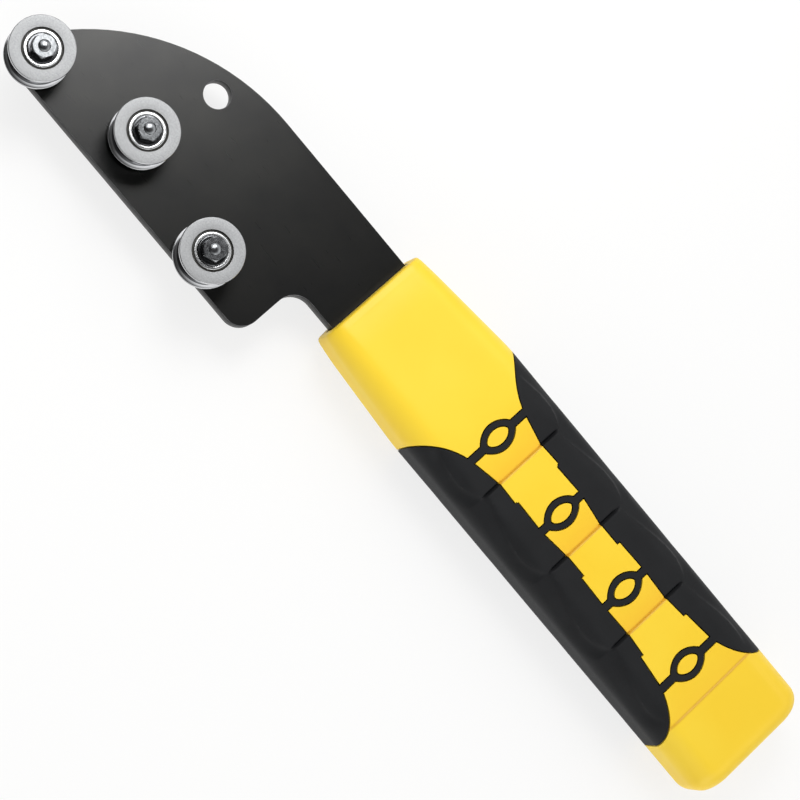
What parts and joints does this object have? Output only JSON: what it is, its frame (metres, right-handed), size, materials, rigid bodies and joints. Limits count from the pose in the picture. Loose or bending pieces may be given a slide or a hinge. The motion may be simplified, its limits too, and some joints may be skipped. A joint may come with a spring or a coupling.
{
  "type": "wire straightener",
  "caption": "Flat steel blade with grooved ball-bearing rollers on studs and a moulded handle with soft grips; bent wire drawn between the rollers comes out straight.",
  "frame": {"origin": "centre of the hanging hole, halfway through the blade's thickness", "axes": "+X along the tool to the end of the handle, +Y to the blade's arched back, +Z out of the face that carries the rollers"},
  "size_m": [0.2491, 0.0515, 0.0257],
  "materials": {
    "blade_steel": "satin black oxide over rolled steel plate",
    "roller_steel": "polished bearing steel with ground side faces",
    "shield_steel": "pressed bright steel sheet",
    "stud_steel": "bright zinc plating, slightly scuffed",
    "nut_zinc": "thin yellow zinc plating",
    "ball_steel": "mirror polished",
    "cage_nylon": "natural nylon",
    "handle_yellow": "satin moulded polypropylene",
    "grip_black": "matt moulded thermoplastic rubber"
  },
  "bodies": {
    "frame": {"blade": "blade_steel", "handle_core": "handle_yellow", "handle_grip": "grip_black", "front_stud": "stud_steel", "front_spacer_nut": "nut_zinc", "front_inner_ring": "roller_steel", "front_end_nut": "stud_steel", "middle_stud": "stud_steel", "middle_spacer_nut": "nut_zinc", "middle_inner_ring": "roller_steel", "middle_end_nut": "stud_steel", "rear_stud": "stud_steel", "rear_spacer_nut": "nut_zinc", "rear_inner_ring": "roller_steel", "rear_end_nut": "stud_steel"},
    "front_roller": {"front_roller": "roller_steel", "front_lower_shield": "shield_steel", "front_upper_shield": "shield_steel"},
    "middle_roller": {"middle_roller": "roller_steel", "middle_lower_shield": "shield_steel", "middle_upper_shield": "shield_steel"},
    "rear_roller": {"rear_roller": "roller_steel", "rear_lower_shield": "shield_steel", "rear_upper_shield": "shield_steel"},
    "front_ball_set": {"front_balls": "ball_steel", "front_ball_cages": "cage_nylon"},
    "middle_ball_set": {"middle_balls": "ball_steel", "middle_ball_cages": "cage_nylon"},
    "rear_ball_set": {"rear_balls": "ball_steel", "rear_ball_cages": "cage_nylon"}
  },
  "joints": [
    {"name": "front_roller_spin", "type": "hinge", "parent": "frame", "child": "front_roller", "pos_m": [-0.0336, -0.0284, 0.00815], "axis": [0, 0, 1], "continuous": true},
    {"name": "middle_roller_spin", "type": "hinge", "parent": "frame", "child": "middle_roller", "pos_m": [-0.0038, -0.0218, 0.00815], "axis": [0, 0, 1], "continuous": true},
    {"name": "rear_roller_spin", "type": "hinge", "parent": "frame", "child": "rear_roller", "pos_m": [0.0272, -0.0284, 0.00815], "axis": [0, 0, 1], "continuous": true},
    {"name": "front_balls_orbit", "type": "hinge", "parent": "frame", "child": "front_ball_set", "pos_m": [-0.0336, -0.0284, 0.00815], "axis": [0, 0, 1], "continuous": true},
    {"name": "middle_balls_orbit", "type": "hinge", "parent": "frame", "child": "middle_ball_set", "pos_m": [-0.0038, -0.0218, 0.00815], "axis": [0, 0, 1], "continuous": true},
    {"name": "rear_balls_orbit", "type": "hinge", "parent": "frame", "child": "rear_ball_set", "pos_m": [0.0272, -0.0284, 0.00815], "axis": [0, 0, 1], "continuous": true}
  ],
  "couplings": [
    {"joint": "front_balls_orbit", "follows": "front_roller_spin", "ratio": 0.6},
    {"joint": "middle_balls_orbit", "follows": "middle_roller_spin", "ratio": 0.6},
    {"joint": "rear_balls_orbit", "follows": "rear_roller_spin", "ratio": 0.6}
  ]
}
